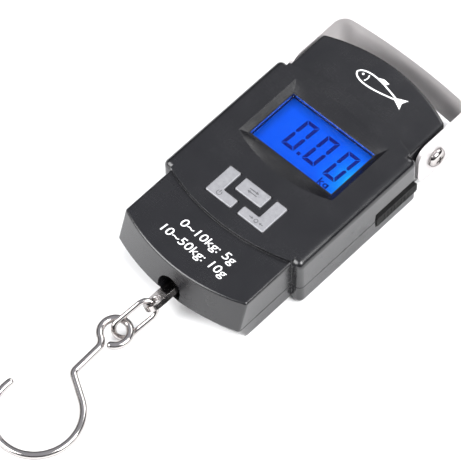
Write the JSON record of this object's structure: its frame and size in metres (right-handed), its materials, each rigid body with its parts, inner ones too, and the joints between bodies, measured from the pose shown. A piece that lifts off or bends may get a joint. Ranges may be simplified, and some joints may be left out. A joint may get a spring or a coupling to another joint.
{
  "type": "digital fish scale",
  "caption": "Hand-held digital hanging scale: display, three keys, folding chrome bail, pull-out tape, hook on a chain link.",
  "frame": {"origin": "on the flat back face, on the pull line's plane of symmetry and midway along the housing", "axes": "+X to the right of the display, +Y from hook to bail, +Z out of the display face"},
  "size_m": [0.0618, 0.1872, 0.0229],
  "materials": {
    "black_plastic": "glossy moulded ABS",
    "clear_lens": "polished clear acrylic",
    "display_blue": "liquid crystal panel",
    "light_guide": "diffuser",
    "strip_rubber": "silicone",
    "board_green": "solder mask",
    "black_resin": "potting",
    "silver_keys": "silver painted",
    "switch_black": "moulded",
    "chrome_plate": "bright chrome",
    "zinc_steel": "zinc plated",
    "cell_aluminium": "milled",
    "gauge_foil": "foil",
    "spring_steel": "nickel plated",
    "battery_jacket": "printed sleeve",
    "cable_jacket": "pvc",
    "tape_white": "enamelled tape",
    "reel_plastic": "moulded",
    "tab_grey": "moulded"
  },
  "bodies": {
    "housing": {"front_shell": "black_plastic", "back_shell": "black_plastic", "display_window": "clear_lens", "lcd_glass": "display_blue", "backlight": "light_guide", "contact_strip": "strip_rubber", "main_board": "board_green", "control_chip": "black_resin", "board_screws": "zinc_steel", "shell_screws": "zinc_steel", "left_switch": "switch_black", "centre_switch": "switch_black", "right_switch": "switch_black", "left_battery": "battery_jacket", "right_battery": "battery_jacket", "contact_plates": "spring_steel", "contact_springs": "spring_steel", "battery_leads": "cable_jacket", "pivot_shaft": "zinc_steel", "pivot_screws": "chrome_plate", "pivot_washers": "zinc_steel", "load_strap": "zinc_steel", "load_bolt": "zinc_steel", "load_cell": "cell_aluminium", "strain_gauges": "gauge_foil", "gauge_cable": "cable_jacket", "reel_axle": "zinc_steel", "reel_spring": "spring_steel"},
    "handle": {"handle_bail": "chrome_plate"},
    "left_key": {"left_button": "silver_keys", "left_plunger": "switch_black"},
    "centre_key": {"centre_button": "silver_keys", "centre_plunger": "switch_black"},
    "right_key": {"right_button": "silver_keys", "right_plunger": "switch_black"},
    "door": {"battery_door": "black_plastic"},
    "swivel": {"eye_bolt": "chrome_plate", "swivel_nut": "zinc_steel"},
    "link": {"chain_link": "chrome_plate"},
    "hook": {"hook": "chrome_plate"},
    "reel": {"tape_reel": "reel_plastic", "tape_coil": "tape_white"},
    "tape": {"tape_blade": "tape_white", "tape_tab": "tab_grey"}
  },
  "joints": [
    {"name": "handle_fold", "type": "hinge", "parent": "housing", "child": "handle", "pos_m": [0, 0.041, 0.0125], "axis": [1, 0, 0], "range_deg": [-95, 95]},
    {"name": "left_press", "type": "slide", "parent": "housing", "child": "left_key", "axis": [0, 0, -1], "range_m": [0, 0.0005], "stiffness_N_per_m": 600, "springref_m": -0.0008},
    {"name": "centre_press", "type": "slide", "parent": "housing", "child": "centre_key", "axis": [0, 0, -1], "range_m": [0, 0.0005], "stiffness_N_per_m": 600, "springref_m": -0.0008},
    {"name": "right_press", "type": "slide", "parent": "housing", "child": "right_key", "axis": [0, 0, -1], "range_m": [0, 0.0005], "stiffness_N_per_m": 600, "springref_m": -0.0008},
    {"name": "door_slide", "type": "slide", "parent": "housing", "child": "door", "axis": [0, -1, 0], "range_m": [0, 0.049]},
    {"name": "eye_swivel", "type": "hinge", "parent": "housing", "child": "swivel", "pos_m": [0, -0.05, 0.0105], "axis": [0, 1, 0], "continuous": true},
    {"name": "link_swing", "type": "hinge", "parent": "swivel", "child": "link", "pos_m": [0, -0.0595, 0.0105], "axis": [0.6428, 0, -0.766], "range_deg": [-110, 55]},
    {"name": "hook_swing", "type": "hinge", "parent": "link", "child": "hook", "pos_m": [-0.00403, -0.07368, 0.00541], "axis": [0, -0.0797, 0.9968], "range_deg": [-90, 90]},
    {"name": "tape_pull", "type": "slide", "parent": "housing", "child": "tape", "axis": [1, 0, 0], "range_m": [0, 0.04], "stiffness_N_per_m": 5, "springref_m": -0.2},
    {"name": "reel_turn", "type": "hinge", "parent": "housing", "child": "reel", "pos_m": [0.0175, 0.02005, 0.009], "axis": [0, 0, 1], "range_deg": [-290, 10]}
  ],
  "couplings": [
    {"joint": "reel_turn", "follows": "tape_pull", "rad_per_m": -119}
  ]
}
